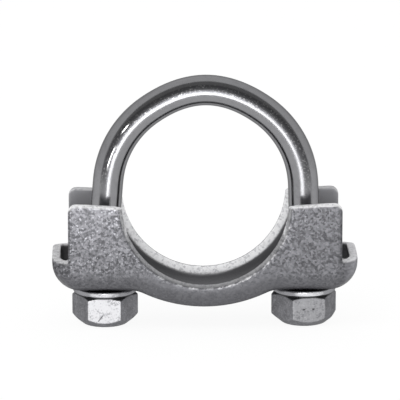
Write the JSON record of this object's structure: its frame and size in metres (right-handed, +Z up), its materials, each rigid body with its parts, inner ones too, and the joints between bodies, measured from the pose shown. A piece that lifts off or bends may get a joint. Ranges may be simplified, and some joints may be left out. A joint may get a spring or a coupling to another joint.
{
  "type": "u-bolt exhaust pipe clamp",
  "caption": "U-bolt clamp that joins and seals overlapping exhaust pipes: a bent round rod through a pressed steel saddle, drawn up by a collar nut on each threaded leg.",
  "frame": {"origin": "on the ground, midway between the free ends of the two nuts that the clamp stands on", "axes": "+X from the left leg to the right leg, +Y along the pipe and away from the viewer of the picture, +Z up the legs towards the bow"},
  "size_m": [0.091, 0.024, 0.0747],
  "materials": {
    "zinc_rod": "bright zinc plate on smooth drawn rod",
    "zinc_sheet": "zinc plate on rough pressed sheet, grey and speckled",
    "zinc_nut": "bright zinc plate on cold formed nuts"
  },
  "bodies": {
    "u_bolt_body": {"u_bolt": "zinc_rod"},
    "saddle_body": {"saddle": "zinc_sheet"},
    "nut_left_body": {"nut_left": "zinc_nut"},
    "nut_right_body": {"nut_right": "zinc_nut"}
  },
  "joints": [
    {"name": "saddle_slide", "type": "slide", "parent": "u_bolt_body", "child": "saddle_body", "axis": [0, 0, 1], "range_m": [-0.005, 0.014]},
    {"name": "nut_left_turn", "type": "hinge", "parent": "saddle_body", "child": "nut_left_body", "pos_m": [-0.0295, 0, 0.0056], "axis": [0, 0, 1], "range_deg": [-1200, 3360]},
    {"name": "nut_right_turn", "type": "hinge", "parent": "saddle_body", "child": "nut_right_body", "pos_m": [0.0295, 0, 0.0056], "axis": [0, 0, 1], "range_deg": [-1200, 3360]}
  ],
  "couplings": [
    {"joint": "nut_left_turn", "follows": "saddle_slide", "rad_per_m": 4188.8},
    {"joint": "nut_right_turn", "follows": "saddle_slide", "rad_per_m": 4188.8}
  ]
}
